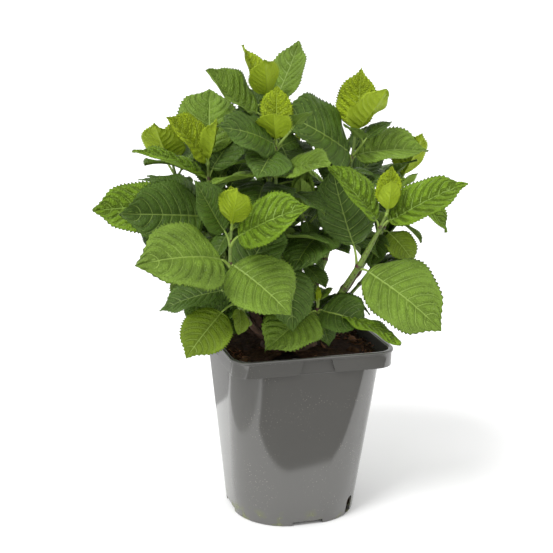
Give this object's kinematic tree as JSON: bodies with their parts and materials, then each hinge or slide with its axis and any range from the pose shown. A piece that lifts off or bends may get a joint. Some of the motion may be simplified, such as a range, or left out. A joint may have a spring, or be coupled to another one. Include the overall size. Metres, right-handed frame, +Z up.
{
  "type": "potted hydrangea shrub",
  "caption": "Leafy hydrangea shrub without blooms, several upright shoots with opposite toothed leaves, in a square-topped grey nursery pot filled with bark compost.",
  "frame": {"origin": "middle of the pot's flat underside, at the hub it stands on", "axes": "+Z up, +X to the right along the pot's front, -Y the pot's front"},
  "size_m": [0.4185, 0.375, 0.566],
  "materials": {
    "pot": "satin grey recycled plastic, scuffed, with a little green algae low down",
    "compost": "rough dark brown bark compost with lighter lumps and fibres",
    "bark": "matt brown bark, ridged, green higher up with purple-brown dashes",
    "foliage": "satin green leaves, lime at the tips of the shoots and dark blue-green low down"
  },
  "bodies": {
    "root": {"pot": "pot", "compost": "compost", "stool": "bark", "bough_crown": "bark", "leaves_crown": "foliage", "bough_front_top": "bark", "leaves_front_top": "foliage", "bough_right_top": "bark", "leaves_right_top": "foliage", "bough_right_front": "bark", "leaves_right_front": "foliage", "bough_front_left": "bark", "leaves_front_left": "foliage", "bough_left_top": "bark", "leaves_left_top": "foliage", "bough_left_back": "bark", "leaves_left_back": "foliage", "bough_right_back": "bark", "leaves_right_back": "foliage", "bough_low_right": "bark", "leaves_low_right": "foliage", "bough_middle": "bark", "leaves_middle": "foliage", "bough_back_top": "bark", "leaves_back_top": "foliage", "bough_back_right": "bark", "leaves_back_right": "foliage", "bough_back_left": "bark", "leaves_back_left": "foliage", "bough_right_low": "bark", "leaves_right_low": "foliage", "bough_back_low": "bark", "leaves_back_low": "foliage", "bough_left_low": "bark", "leaves_left_low": "foliage", "bough_back_corner": "bark", "leaves_back_corner": "foliage", "bough_right_middle": "bark", "leaves_right_middle": "foliage", "bough_left_middle": "bark", "leaves_left_middle": "foliage", "bough_back_middle": "bark", "leaves_back_middle": "foliage"}
  },
  "joints": []
}
